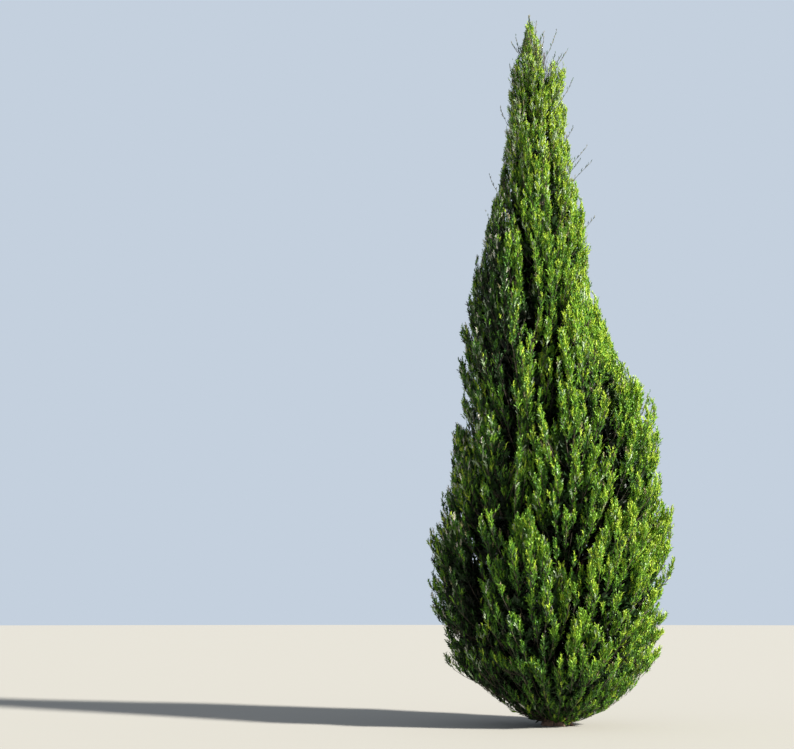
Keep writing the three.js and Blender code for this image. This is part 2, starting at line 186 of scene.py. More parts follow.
# Painted light and shade: where the sprays are lighter (a lit ridge in front) or darker (the shaded left
# flank and the lower left): by how much, and a path as above
PAINTED_LIGHT_AND_SHADE_PATHS = [
    (0.15, [(7.1, -124, 0.1), (6.1, -116, 0.16), (5.1, -107, 0.18), (4.4, -103, 0.18), (3.4, -102, 0.14)]),
    (-0.38, [(6.9, -152, 0.2), (6.1, -150, 0.36), (5.5, -143, 0.42), (4.9, -140, 0.44), (4.1, -130, 0.3)]),
    (-0.26, [(2.6, -152, 0.2), (1.7, -155, 0.5), (0.9, -155, 0.5), (0, -150, 0.4)]),
]

# Tufts: short shoots round each twig, by the same rule. A habit tells how many, on what share of the twig
# at most, how large, down to what depth in the crown, and how much they turn upwards.
Habit = namedtuple("Habit", "tufts share size deepest rise")
LEAFY = Habit(10, 0.72, 1, 0.24, 0.55)
TUFTED_LENGTH = 0.85  # at most
TUFT_SPLAYS = (math.radians(36), math.radians(12))  # at the twig's lower end and at its tip
TUFT_LENGTHS = (0.26, 0.17)
TUFT_UPTURN = 0.16
TUFT_RADIUS = 0.0035
TURN_JITTER = 0.3
PLACE_VARIES = (0.1, 0.9)  # within its own stretch of a twig or tuft
SPLAY_VARIES = (0.8, 1.2)
LENGTH_VARIES = (0.75, 1.2)
WISP_SHARE = (0.04, 0.3)  # of the tufts, which stand out of the outline, low down and at the top
WISP_HEIGHTS = (7.8, 8.7)
WISP_LENGTH = 0.13
WISP_VARIES = (0.4, 1)
WISP_SPRAYS = 0.55  # the length of a wisp's sprays, as a share of the others'

# Sprays on each tuft
SPRAYS_PER_TUFT = 8
SPRAY_SPLAYS = (math.radians(42), math.radians(10))
SPRAY_LENGTHS = (0.135, 0.095)
SPRAY_RISE = 0.7
SPRAYED_SHARE = 0.9  # of the tuft
OPEN_HEIGHTS = (8.2, 8.8)
OPEN_SHARES = (0, 0.35)  # of the fresh sprays left out at those heights, where the top is thin

# The notch between the leader and the second head: how far right of the trunk's line, half width and foot
NOTCH_RIGHT = 0.21
NOTCH_WIDTH = 0.045
NOTCH_BOTTOM = 8.7

# Old dark sprays inside the crown, on the twigs. Their dull greens and near-black are painted shade of the
# crown's inside, over the old foliage's own dull tone.
OLD_PER_TWIG = 8
OLD_SPLAYS = (math.radians(65), math.radians(30))
OLD_LENGTHS = (0.3, 0.26)
OLD_RISE = 0.3
OLD_SPAN = (0.1, 0.9)  # of the twig
OLD_DEPTH = 0.15  # they stand at least this deep
OLD_WIDTH = 1.8  # their cords', as a share of the fresh ones'
# Painted shade: old sprays turn from dull green to nearly black deeper in the crown
DIM_DEPTH = 0.24  # down to here they are dull green, and deeper nearly black

# Dead twigs from the trunk and the leader's stem, that fill the crown's inside
DEAD_RANGE = (0.05, 8.3)
DEAD_TWIGS = 420
DEAD_REACH = (0.3, 0.84)  # of the crown's radius
DEAD_SLOPE = 0.75
TRUNK_TWIG_BEND = 0.6  # how far from the trunk to its tip a twig's bend stands
THIN = 0.5  # the thickness of the trunk's own twigs, as a share of the others'
DEAD_PER_TWIG = 11
DEAD_SPLAYS = (math.radians(75), math.radians(40))

# Low twigs with tufts, that hide the trunk's foot and fill the crown's lower edge
FOOT_RANGE = (0.02, 0.6)
FOOT_TWIGS = 140
FOOT_REACH = (0.45, 1.05)
FOOT_SLOPE = 0.26
FOOT = Habit(9, 1, 0.85, 0.6, 0.12)

# Fill twigs: from the trunk to those patches of the outline that still carry few sprays. By zone: heights,
# the patches' height and width, how far round a patch sprays are counted, how many are few, the habit
FILL_ZONES = [
    ((0, 7.6), 0.3, 0.28, 0.2, 55, Habit(8, 0.5, 0.9, 0.24, 0.5)),
    ((7.6, 9.1), 0.16, 0.15, 0.12, 34, Habit(6, 0.6, 0.72, 0.2, 0.8)),
]
FILL_INSET = 0.1  # of the outline's radius
FILL_RISE = 0.9  # how far below its tip a fill twig leaves the trunk, as a share of its reach
FILL_LOWEST = 0.03
FILL_OPEN = 0.9  # patches further in than this share of the crown's radius are clefts, and stay dark

# Thin bare shoots that stand out of the crown, as seen from the front: how far right of the trunk's line and
# how high each leaves the foliage, and the same of its tip. Each is repeated, turned by the angles below.
SHOOTS = [
    (0.18, 8.97, 0.38, 9.38),
    (0.19, 8.78, 0.52, 9.12),
    (0.28, 8.88, 0.44, 9.06),
    (0.06, 9.17, 0.2, 9.37),
    (-0.14, 9, -0.19, 9.32),
    (-0.24, 8.61, -0.3, 8.86),
    (0.4, 7.5, 0.74, 7.76),
    (0.44, 7.29, 0.78, 7.47),
    (0.42, 7.4, 0.67, 7.6),
    (-0.37, 8.05, -0.44, 8.26),
    (-0.54, 7.11, -0.62, 7.37),
    (0.39, 7.8, 0.55, 7.99),
    (0.62, 6.64, 0.84, 6.8),
    (0, 9.35, 0.01, 9.6),
    (-0.12, 9.06, -0.25, 9.22),
    (0.39, 8.4, 0.57, 8.68),
    (0.25, 8.83, 0.36, 9.1),
]
SHOOT_TURNS = (0, 80, 280)  # degrees
SHOOT_TURN_JITTER = 14
SHOOT_ROOT = 1.3  # how far below that place it leaves the trunk, as a share of its reach there
SHOOT_BEND = 0.4  # how far from there to the tip its bend stands
SHOOT_RADIUS = 0.0045
SHOOT_TAPER = 0.5
SHOOT_SPRAYS = 9
SHOOT_LENGTHS = (0.075, 0.045)
SHOOT_BARE = 0.45  # of its length

# A spray, with its length as the unit: one main cord and shorter side cords all round it
VARIANTS = 8
SIDE_CORDS = 5
MAIN_WIDTH = 0.13
CORD_ROOTS = (0.14, 0.8)
CORD_SPLAY = math.radians(33)
CORD_LENGTHS = (0.5, 0.3)
CORD_WIDTH = 0.37  # of the cord's own length
CORD_MIDDLE = 0.45
CORD_FOLD = 0.3
CORD_ROOT_JITTER = 0.03
CORD_LENGTH_JITTER = 0.15
CORD_SPLAY_JITTER = 0.2
SPRAY_SWEEP = 0.12

# Wood: how far along its own curve each kind goes, so that the last sprays hide its end
STEM_WOOD = 0.95
TWIG_WOOD = 0.97
TUFT_WOOD = 0.9
STEM_RINGS = 13
STEM_SIDES = 6
TWIG_SIDES = 3
AWRY = np.array([0.31, 0.95, 0.02])  # a direction that no limb follows
PLUMES_PER_PIECE = 4
SIZE_BY_GIRTH = 0.4  # how the size of tufts and sprays goes with a plume's girth: 0 not at all, 1 in step


def wobble(a, b):
    """A repeatable number from -1 to 1 for two numbers."""
    s = np.sin(a * 12.9898 + b * 78.233) * 43758.5453
    return 2 * (s - np.floor(s)) - 1


def lerp(pair, share):
    return pair[0] + (pair[1] - pair[0]) * share


def unit(vectors):
    return vectors / np.linalg.norm(vectors, axis=-1, keepdims=True)


def axis_at(z):
    """The trunk's line at a height, or at many."""
    z = np.asarray(z, float)
    return np.stack([LEAN * z / HEIGHT, BOW * np.sin(np.pi * z / HEIGHT), z], axis=-1)


def way_out(azimuth):
    """Level directions away from the trunk's line."""
    return np.stack([np.cos(azimuth), np.sin(azimuth), 0 * azimuth], axis=1)


def around_trunk(azimuth, radius, z):
    return axis_at(z) + np.array([math.cos(azimuth) * radius, math.sin(azimuth) * radius, 0])


def crown_radius(azimuth, z):
    left, right = (np.interp(z, CROWN[:, 0], CROWN[:, side]) for side in (1, 2))
    return (left + right) / 2 + (right - left) / 2 * np.cos(azimuth)


def near_path(path, azimuth, radius, z):
    """1 on a path down the crown, falling to 0 at half its width and at its ends."""
    height, middle, width = np.array(path[::-1]).T
    away = azimuth - np.radians(np.interp(z, height, middle))
    away = radius * np.abs((away + math.pi) % (2 * math.pi) - math.pi)
    width = np.interp(z, height, width, left=0, right=0)
    fade = np.clip((z - height[0]) * PATH_FADE, 0, 1) * np.clip((height[-1] - z) * PATH_FADE, 0, 1)
    return np.maximum(0, fade * (1 - (away / np.maximum(width, TINY)) ** PATH_EDGE))


def outline_radius(azimuth, z):
    """The crown's radius, looser at foot and top and sunk in along the clefts."""
    radius = crown_radius(azimuth, z) + np.interp(z, *LOOSE.T)
    sunk = np.max([near_path(cleft, azimuth, radius, z) for cleft in CLEFTS], axis=0)
    return radius - CLEFT_DEPTH * sunk * np.minimum(radius, CLEFT_RADIUS)


def round_line(points):
    """The azimuth of points round the trunk's line, their distance from it and the outline's radius there."""
    offset = points - axis_at(points[..., 2])
    azimuth = np.arctan2(offset[..., 1], offset[..., 0])
    return azimuth, np.hypot(offset[..., 0], offset[..., 1]), outline_radius(azimuth, points[..., 2])


def kept_inside(points, share):
    """Points pulled down, and towards the trunk's line, to stand within a share of the outline's radius."""
    over = np.maximum(points[..., 2] - TOP_START, 0)
    room = HEIGHT - TOP_START
    points = points - (over - room * (1 - np.exp(-over / room)))[..., None] * UP
    _, distance, limit = round_line(points)
    line = axis_at(points[..., 2])
    pull = np.minimum(1, share * limit / np.maximum(distance, TINY))[..., None]
    return line + (points - line) * pull


def trunk_radius(z, angle):
    shaft = lerp((TRUNK_RADIUS, TRUNK_TIP_RADIUS), z / TRUNK_TOP)
    rib = 1 + RIB_SHARE * np.cos(RIBS * angle)
    flute = 1 + FLUTE_SHARE * np.cos(FLUTES * angle + z / FLUTE_WINDING) * (1 - z / TRUNK_TOP)
    return shaft * flute + FLARE * np.exp(-z / FLARE_HEIGHT) * rib


class Bend:
    """Quadratic curves, one or many at once, from their start, bend and end points, and how far out each
    may stand, as a share of the outline's radius."""

    def __init__(self, start, bend, end, reach=None):
        self.start, self.bend, self.end = (np.asarray(p, float) for p in (start, bend, end))
        self.reach = reach

    @classmethod
    def through(cls, start, middle, end):
        return cls(start, 2 * middle - 0.5 * start - 0.5 * end, end)

    def _widened(self, t):
        t = np.asarray(t, float)[..., None]
        more = (1,) * (t.ndim - self.start.ndim)
        return t, *(p.reshape(p.shape[:-1] + more + (3,)) for p in (self.start, self.bend, self.end))

    def at(self, t):
        t, start, bend, end = self._widened(t)
        return (1 - t) ** 2 * start + 2 * t * (1 - t) * bend + t * t * end

    def heading(self, t):
        t, start, bend, end = self._widened(t)
        return unit((1 - t) * (bend - start) + t * (end - bend))

    def cut(self, until):
        """The curves cut off at a place on each, and left out where that is 0."""
        chosen = until > 0
        start, bend, until = self.start[chosen], self.bend[chosen], until[chosen]
        end = Bend(start, bend, self.end[chosen]).at(until[:, None])[:, 0]
        return Bend(start, start + until[:, None] * (bend - start), end, self.reach[chosen])


def flame(t):
    """A plume's radius from its foot, 0, to its tip, 1, as a share of its girth."""
    return np.sin(np.pi * np.clip(t, 0, 1) ** FLAME_LEAN).clip(0) ** FLAME_FULLNESS


def plume_of(tier, index, serial):
    azimuth = math.radians(tier.turn) + 2 * math.pi * index / tier.count
    azimuth += AZIMUTH_JITTER * wobble(serial, 1)
    swing = tier.swing * math.cos(azimuth - math.radians(tier.high))
    tip_height = tier.tip + swing + TIP_JITTER * wobble(serial, 2)
    girth = tier.girth * (1 + GIRTH_JITTER * wobble(serial, 4))
    root_height = lerp(tier.roots, ((index * STAGGER) % tier.count) / (tier.count - 1))
    foot_height = root_height + tier.rise
    middle_height = lerp((foot_height, tip_height), MIDDLE)
    foot = around_trunk(azimuth, tier.reach, foot_height)
    middle = around_trunk(azimuth, crown_radius(azimuth, middle_height) - TOUCH * girth, middle_height)
    tip = around_trunk(azimuth, tier.tuck * crown_radius(azimuth, tip_height), tip_height)
    plume = SimpleNamespace(
        name=f"{tier.name}_{index + 1}", tier=tier.name, serial=serial, azimuth=azimuth, girth=girth,
        axis=Bend.through(foot, middle, tip), limb=tier.limb, open_side=OPEN_SIDE, bough=None,
    )
    if tier.reach > 0:
        root = axis_at(root_height)
        back = -plume.axis.heading(0)
        bend = foot + back * BOUGH_BEND * np.linalg.norm(foot - root)
        plume.bough = Bend(root, bend, foot)
    return plume


def all_plumes():
    plumes = [
        plume_of(tier, index, SERIALS_PER_TIER * rank + index)
        for rank, tier in enumerate(TIERS)
        for index in range(tier.count)
    ]
    foot, tip = axis_at(TRUNK_TOP), axis_at(HEIGHT)
    plumes.append(SimpleNamespace(
        name="leader", tier="top", serial=SERIALS_PER_TIER * len(TIERS), azimuth=0, girth=LEADER_GIRTH,
        axis=Bend.through(foot, (foot + tip) / 2, tip), limb=TRUNK_TIP_RADIUS / LIMB_TIP_SHARE,
        open_side=1, bough=None,
    ))
    shares = np.linspace(0, 1, AXIS_STEPS + 1)
    for plume in plumes:
        plume.points = plume.axis.at(shares)
        plume.radii = plume.girth * flame(shares)
        plume.across = np.array([-math.sin(plume.azimuth), math.cos(plume.azimuth), 0])
    return plumes


PLUMES = all_plumes()


def outside(points):
    """How far points stand outside each plume's flame, a column for each plume, negative inside it."""
    columns = []
    for plume in PLUMES:
        offsets = points[:, None, :] - plume.points[None]
        columns.append((np.linalg.norm(offsets, axis=2) - plume.radii).min(axis=1))
    return np.stack(columns, axis=1)


def room_for(plume, points, beyond):
    """How deep points stand in the crown, and whether they are free to be taken and, where a plume is given,
    in its own space."""
    _, distance, limit = round_line(points)
    clear = (points[:, 2] > TRUNK_TOP) | (distance > trunk_radius(points[:, 2].clip(0, TRUNK_TOP), 0))
    upright = (points[:, 2] > GROUND_CLEARANCE) & (points[:, 2] < HEIGHT + SHAGGINESS)
    free = clear & upright & (distance < limit + SHAGGINESS + beyond)
    if plume is None:
        return limit - distance, free
    distances = outside(points)
    me = PLUMES.index(plume)
    own = distances[:, me]
    others = np.delete(distances, me, axis=1).min(axis=1)
    return np.minimum(-own, limit - distance), free & (own < STRAY + beyond) & (own <= others)


def twigs_of(plume):
    """The curves of a plume's twigs and of the stem's own end, with the gap twigs that grow from its stem."""
    count = round(TWIGS_BASE + plume.girth / TWIG_SPACING) * FINER
    j = np.arange(count)
    k = (j - (FINER - 1) / 2) / FINER
    t = lerp(TWIG_RANGE, (j + 0.5) / count)
    start = plume.axis.at(t)
    along = plume.axis.heading(t)
    inward = unit(np.cross(along, plume.across))
    turn = (plume.open_side * ((k * GOLDEN_TURN + plume.serial) % (2 * math.pi) - math.pi))[:, None]
    outward = -np.cos(turn) * inward + np.sin(turn) * plume.across
    splay = (TWIG_SPLAY * (1 + SPLAY_JITTER * wobble(plume.serial, k + 20)))[:, None]
    heading = np.cos(splay) * along + np.sin(splay) * outward
    reach = (TWIG_REACH * plume.girth * flame(t + TWIG_LEAD))[:, None]
    size = (SPRAY_BASE + SPRAY_SHARE * plume.girth) * (1 + SPRAY_JITTER * wobble(plume.serial, k + 40))
    tip = start + heading * (reach / np.sin(splay) + (1 - SPRAY_MIDDLE) * size[:, None])
    reach = lerp(TIP_REACH, 0.5 + 0.5 * wobble(plume.serial, k + 60))
    tip = kept_inside(tip, reach)
    length = np.linalg.norm(tip - start, axis=1, keepdims=True)
    droop = unit(heading * heading[:, 2:] - UP)
    bend = kept_inside((start + tip) / 2 + droop * TWIG_SWEEP * length, 1)
    end_start, end_bend, end_tip = (plume.axis.at([place]) for place in STEM_END)
    gaps = GAP_TWIGS[plume.serial]
    return Bend(
        np.concatenate([start, end_start, gaps.start]),
        np.concatenate([bend, end_bend, gaps.bend]),
        np.concatenate([tip, end_tip, gaps.end]),
        np.concatenate([reach, [1], gaps.reach]),
    )


def not_below(bend, start):
    """Bends lifted to the height of their starts."""
    bend[:, 2] = np.maximum(bend[:, 2], start[:, 2])
    return bend


def twigs_of_trunk(count, heights, reaches, slope):
    """The curves of twigs that leave the trunk, or the leader's stem, by the golden turn."""
    share = (np.arange(count) + rng.uniform(0, 1, count)) / count
    height = lerp(heights, share)
    azimuth = np.arange(count) * GOLDEN_TURN
    reach = lerp(reaches, rng.uniform(0, 1, count))
    start = axis_at(height)
    span = reach * crown_radius(azimuth, height)
    span = (reach * crown_radius(azimuth, height + slope * span))[:, None]
    tip = kept_inside(start + way_out(azimuth) * span + slope * span * UP, 1)
    bend = start + TRUNK_TWIG_BEND * (tip - start) - TWIG_SWEEP * span * UP
    return Bend(start, not_below(bend, start), tip, reach)


def outline_patches(heights, step, width):
    """Patches spread over the outline: the azimuth, the trunk's line, the way out and the radius of each."""
    patches = []
    for z in np.arange(heights[0] + step / 2, heights[1], step):
        count = max(3, round(2 * math.pi * outline_radius(math.pi / 2, z) / width))
        azimuth = (np.arange(count) + rng.uniform(-PATCH_JITTER, PATCH_JITTER, count)) * 2 * math.pi / count
        height = z + rng.uniform(-PATCH_JITTER, PATCH_JITTER, count) * step
        patches += list(zip(azimuth, height))
    azimuth, height = np.array(patches).T
    return azimuth, axis_at(height), way_out(azimuth), outline_radius(azimuth, height)[:, None]


def fill_twigs(leafy_points, heights, step, width, reach, enough):
    """The curves of twigs that go from the trunk to the patches with few sprays near them."""
    tree = kdtree.KDTree(len(leafy_points))
    for n, point in enumerate(leafy_points):
        tree.insert(point, n)
    tree.balance()
    azimuth, line, out, radius = outline_patches(heights, step, width)
    tip = line + out * radius * (1 - FILL_INSET)
    few = np.array([len(tree.find_range(point, reach)) < enough for point in tip])
    few &= radius[:, 0] > FILL_OPEN * crown_radius(azimuth, line[:, 2])
    tip, line, radius = tip[few], line[few], radius[few, 0]
    start = axis_at(np.maximum(line[:, 2] - FILL_RISE * radius, FILL_LOWEST))
    bend = not_below((start + tip) / 2 - TWIG_SWEEP * radius[:, None] * UP, start)
    return Bend(start, bend, tip, lerp(TIP_REACH, rng.uniform(0, 1, len(tip))))


def bare_shoots():
    """The curves of the bare shoots, at each turn."""
    turn = np.radians(np.repeat(SHOOT_TURNS, len(SHOOTS)))
    turn = turn + math.radians(SHOOT_TURN_JITTER) * rng.uniform(-1, 1, len(turn))
    away, height, tip_away, tip_height = np.tile(SHOOTS, (len(SHOOT_TURNS), 1)).T
    out = way_out(turn)
    start = axis_at(height - SHOOT_ROOT * np.abs(away))
    bend = axis_at(height) + lerp((away, tip_away), SHOOT_BEND)[:, None] * out
    return Bend(start, bend, axis_at(tip_height) + tip_away[:, None] * out)


def gap_twigs():
    """More twigs, from the same stems, so that no patch of the outline lacks one. A dictionary by plume."""
    _, line, out, radius = outline_patches((0, HEIGHT - PATCH_HEIGHT), PATCH_HEIGHT, PATCH_WIDTH)
    bare = outside(line + out * radius * (1 - GAP_INSETS[0])).min(axis=1) > -COVERED
    out, line, radius = out[bare], line[bare], radius[bare]
    tip = line + out * radius * (1 - GAP_INSETS[1])
    owner = outside(tip).argmin(axis=1)
    found = np.zeros(len(tip), bool)
    for inset in np.linspace(*GAP_INSETS, GAP_INSET_STEPS):
        trial = line + out * radius * (1 - inset)
        distances = outside(trial)
        hit = ~found & (distances.min(axis=1) < GAP_OUT)
        tip[hit], owner[hit] = trial[hit], distances.argmin(axis=1)[hit]
        found |= hit
    twigs = {}
    for n, plume in enumerate(PLUMES):
        ends = tip[owner == n]
        offsets = ends[:, None] - plume.points[None]
        lengths = np.linalg.norm(offsets, axis=2)
        headings = plume.axis.heading(np.linspace(0, 1, AXIS_STEPS + 1))
        angle = np.arccos(((offsets * headings).sum(axis=2) / lengths).clip(-1, 1))
        angle[lengths < GAP_SHORTEST] = math.pi
        start = plume.points[np.abs(angle - TWIG_SPLAY).argmin(axis=1)]
        reach = lerp(TIP_REACH, rng.uniform(0, 1, len(ends)))
        ends = kept_inside(ends + GAP_LIFT * UP, reach)
        span = ends - start
        bend = (start + ends) / 2 - TWIG_SWEEP * UP * np.linalg.norm(span, axis=1, keepdims=True)
        twigs[plume.serial] = Bend(start, bend, ends, reach)
    return twigs


def across_of(headings):
    """A direction square to each heading, and the one square to both."""
    first = unit(np.cross(headings, AWRY))
    return first, np.cross(headings, first)


def offshoots(curves, per_curve, low, high, splays, lengths, rise):
    """What grows round many curves, from low to high on each, by the golden turn: roots, directions, lengths
    and places on the curve."""
    count = len(curves.start)
    share = (np.arange(per_curve) + rng.uniform(*PLACE_VARIES, (count, per_curve))) / per_curve
    t = lerp((np.reshape(low, (-1, 1)), high), share)
    along = curves.heading(t)
    first, second = across_of(along)
    turn = np.arange(per_curve) * GOLDEN_TURN + rng.uniform(0, 2 * math.pi, (count, 1))
    turn = (turn + rng.normal(0, TURN_JITTER, (count, per_curve)))[..., None]
    out = np.cos(turn) * first + np.sin(turn) * second
    splay = (lerp(splays, share) * rng.uniform(*SPLAY_VARIES, (count, per_curve)))[..., None]
    direction = unit(np.cos(splay) * along + np.sin(splay) * out + rise * UP)
    length = lerp(lengths, share) * rng.uniform(*LENGTH_VARIES, (count, per_curve))
    return curves.at(t).reshape(-1, 3), direction.reshape(-1, 3), length.ravel(), share.ravel()


def tufts_on(plume, twigs, habit, size):
    """The tufts on a plume's twigs, or on the trunk's where there is no plume: their curves, which of them
    are wisps, and how far along each twig they go."""
    length = np.linalg.norm(twigs.end - twigs.start, axis=1)
    low = 1 - np.minimum(habit.share, TUFTED_LENGTH / length)
    found = offshoots(twigs, habit.tufts, low, 1, TUFT_SPLAYS, TUFT_LENGTHS, habit.rise)
    root, direction, long, share = found
    long = size * long[:, None]
    reach = np.repeat(twigs.reach, habit.tufts)
    tip = kept_inside(root + direction * long + TUFT_UPTURN * long * UP, reach)
    depth, mine = room_for(plume, tip, 0)
    wisp = (rng.random(len(tip)) < np.interp(tip[:, 2], WISP_HEIGHTS, WISP_SHARE)) & (depth < SHAGGINESS)
    tip += np.where(wisp, WISP_LENGTH * rng.uniform(*WISP_VARIES, len(tip)), 0)[:, None] * direction
    keep = mine & (depth < habit.deepest)
    until = (keep * lerp((np.repeat(low, habit.tufts), 1), share)).reshape(-1, habit.tufts).max(axis=1)
    return Bend(root[keep], (root + direction * long / 2)[keep], tip[keep]), wisp[keep], until


def with_room(plume, found, beyond=0, least_depth=-1):
    """Those of the sprays found that have room and stand deep enough."""
    root, direction, length, share = found
    tip = root + direction * length[:, None]
    depth, mine = room_for(plume, tip, beyond)
    lowest = np.minimum(root[:, 2], tip[:, 2]) - SPRAY_DROOP * length
    mine &= (lowest > GROUND_CLEARANCE) & (depth > least_depth) & (length > 0)
    return SimpleNamespace(
        root=root[mine], direction=direction[mine], length=length[mine], depth=depth[mine], share=share[mine],
    )


def in_notch(points):
    away = np.abs(points[:, 0] - axis_at(points[:, 2])[:, 0] - NOTCH_RIGHT)
    return (away < NOTCH_WIDTH) & (points[:, 2] > NOTCH_BOTTOM)


def fresh_sprays(plume, tufts, wisp, size):
    """The sprays on tufts. Those of a wisp are small, and may stand further out."""
    low = 1 - SPRAYED_SHARE
    root, direction, length, share = offshoots(
        tufts, SPRAYS_PER_TUFT, low, 1, SPRAY_SPLAYS, SPRAY_LENGTHS, SPRAY_RISE
    )
    wisp = np.repeat(wisp, SPRAYS_PER_TUFT)
    length = size * length * np.where(wisp, WISP_SPRAYS, 1)
    length *= rng.random(len(length)) >= np.interp(root[:, 2], OPEN_HEIGHTS, OPEN_SHARES)
    length *= ~(in_notch(root) | in_notch(root + direction * length[:, None]))
    return with_room(plume, (root, direction, length, share), np.where(wisp, WISP_LENGTH, 0))


def old_sprays(plume, twigs, per_twig, splays):
    found = offshoots(twigs, per_twig, *OLD_SPAN, splays, OLD_LENGTHS, OLD_RISE)
    return with_room(plume, found, least_depth=OLD_DEPTH)


def spray_shapes(widen):
    """The corners of each variant of the spray in its own frame: across, along and out."""
    variants = []
    for variant in range(VARIANTS):
        corners = []
        for cord in range(SIDE_CORDS + 1):
            place = (cord - 0.5) / SIDE_CORDS
            turn = cord * GOLDEN_TURN + variant
            if cord == 0:
                root, long, wide, lean = 0, 1, MAIN_WIDTH * widen, 0
            else:
                root = lerp(CORD_ROOTS, place) + CORD_ROOT_JITTER * wobble(variant, cord)
                long = lerp(CORD_LENGTHS, place) * (1 + CORD_LENGTH_JITTER * wobble(variant + 7, cord))
                wide = CORD_WIDTH * long * widen
                lean = CORD_SPLAY * (1 + CORD_SPLAY_JITTER * wobble(variant + 11, cord))
            out = np.array([math.cos(turn), 0, math.sin(turn)])
            side = np.array([-math.sin(turn), 0, math.cos(turn)])
            along = math.cos(lean) * np.array([0, 1, 0]) + math.sin(lean) * out
            base = np.array([0, root, 0])
            middle = base + along * CORD_MIDDLE * long - np.cross(along, side) * CORD_FOLD * wide
            corners += [base, middle + side * wide / 2, base + along * long, middle - side * wide / 2]
        corners = np.array(corners)
        corners[:, 0] += SPRAY_SWEEP * corners[:, 1] ** 2
        variants.append(corners)
    return np.array(variants)


CORDS = 4 * np.arange(SIDE_CORDS + 1)[:, None]
SPRAY_TRIANGLES = np.concatenate([CORDS + [0, 1, 2], CORDS + [0, 2, 3]])
FRESH_SHAPES = spray_shapes(1)
OLD_SHAPES = spray_shapes(OLD_WIDTH)


def needle_mesh(sprays, shapes):
    """All corners and triangles of many sprays."""
    count = len(sprays.length)
    first, second = across_of(sprays.direction)
    roll = rng.uniform(0, 2 * math.pi, count)[:, None]
    side = np.cos(roll) * first + np.sin(roll) * second
    face = np.cross(side, sprays.direction)
    shape = shapes[rng.integers(0, VARIANTS, count)] * sprays.length[:, None, None]
    corners = sprays.root[:, None] + shape[..., 0:1] * side[:, None]
    corners = corners + shape[..., 1:2] * sprays.direction[:, None] + shape[..., 2:3] * face[:, None]
    per = shapes.shape[1]
    faces = SPRAY_TRIANGLES[None] + per * np.arange(count)[:, None, None]
    return corners.reshape(-1, 3), faces.reshape(-1, 3)


def tubes(paths, radii, sides):
    """Closed tapering tubes along many paths of as many points each."""
    count, rings, _ = paths.shape
    heading = unit(np.gradient(paths, axis=1))
    first, second = across_of(heading)
    angle = 2 * math.pi * np.arange(sides) / sides
    out = first[:, :, None] * np.cos(angle)[:, None] + second[:, :, None] * np.sin(angle)[:, None]
    corners = paths[:, :, None] + out * radii[:, :, None, None]
    ring = np.arange(sides)
    after = (ring + 1) % sides
    walls = []
    for r in range(rings - 1):
        low, high = r * sides, (r + 1) * sides
        walls.append(np.stack([low + ring, low + after, high + after], axis=1))
        walls.append(np.stack([low + ring, high + after, high + ring], axis=1))
    fan = np.arange(1, sides - 1)
    top = (rings - 1) * sides
    walls.append(np.stack([0 * fan, fan + 1, fan], axis=1))
    walls.append(np.stack([top + 0 * fan, top + fan, top + fan + 1], axis=1))
    pattern = np.concatenate(walls)
    faces = pattern[None] + rings * sides * np.arange(count)[:, None, None]
    return corners.reshape(-1, 3), faces.reshape(-1, 3)


def placed(name, data):
    """A new object in the scene, at the origin."""
    thing = bpy.data.objects.new(name, data)
    bpy.context.scene.collection.objects.link(thing)
    return thing


def piece_from_arrays(name, parts, materials, tints=None):
    """One joined mesh object from (corners, triangles) pairs."""
    starts = np.cumsum([0] + [len(corners) for corners, _ in parts])
    corners = np.concatenate([corners for corners, _ in parts]).astype(np.float32)
    faces = np.concatenate([faces + start for (_, faces), start in zip(parts, starts)]).astype(np.int32)
    mesh = bpy.data.meshes.new(name)
    mesh.vertices.add(len(corners))
    mesh.vertices.foreach_set("co", corners.ravel())
    mesh.loops.add(faces.size)
    mesh.loops.foreach_set("vertex_index", faces.ravel())
    mesh.polygons.add(len(faces))
    mesh.polygons.foreach_set("loop_start", np.arange(0, faces.size, 3, dtype=np.int32))
    for material in materials:
        mesh.materials.append(material)
    if tints is not None:
        mesh.polygons.foreach_set("material_index", tints.astype(np.int32))
    mesh.update(calc_edges=True)
    return placed(name, mesh)


class Wire:
    """A node's output, with arithmetic that adds Math nodes."""

    def __init__(self, finish, socket):
        self.finish, self.socket = finish, socket

    def _math(self, operation, first, second):
        made = self.finish.node("ShaderNodeMath", {"operation": operation}, {0: first, 1: second})
        return Wire(self.finish, made.outputs[0])

    def __rsub__(self, other):
        return self._math("SUBTRACT", other, self)

    def __mul__(self, other):
        return self._math("MULTIPLY", self, other)


class Finish:
    """A material that is being wired up."""

    def __init__(self, name, **shader):
        self.material = bpy.data.materials.new(name)
        self.material.use_nodes = True
        self.tree = self.material.node_tree
        self.shader = self.tree.nodes["Principled BSDF"]
        for socket, value in shader.items():
            self.feed(self.shader.inputs[socket.replace("_", " ")], value)

    def feed(self, socket, value):
        if isinstance(value, Wire):
            self.tree.links.new(value.socket, socket)
        else:
            socket.default_value = value

    def node(self, kind, settings, sockets):
        made = self.tree.nodes.new(kind)
        for key, value in settings.items():
            if key == "stops":
                for stop, (place, colour) in zip(made.color_ramp.elements, value):
                    stop.position, stop.color = place, colour
            else:
                setattr(made, key, value)
        for key, value in sockets.items():
            self.feed(made.inputs[key], value)
        return made

    def out(self, kind, settings, sockets, name=0):
        return Wire(self, self.node(kind, settings, sockets).outputs[name])


def shade(red, green, blue):
    """A colour as the eye reads it, from 0 to 255, as the linear one that a shader takes."""
    linear = [((c / 255 + 0.055) / 1.055) ** 2.4 for c in (red, green, blue)]
    return (*linear, 1)
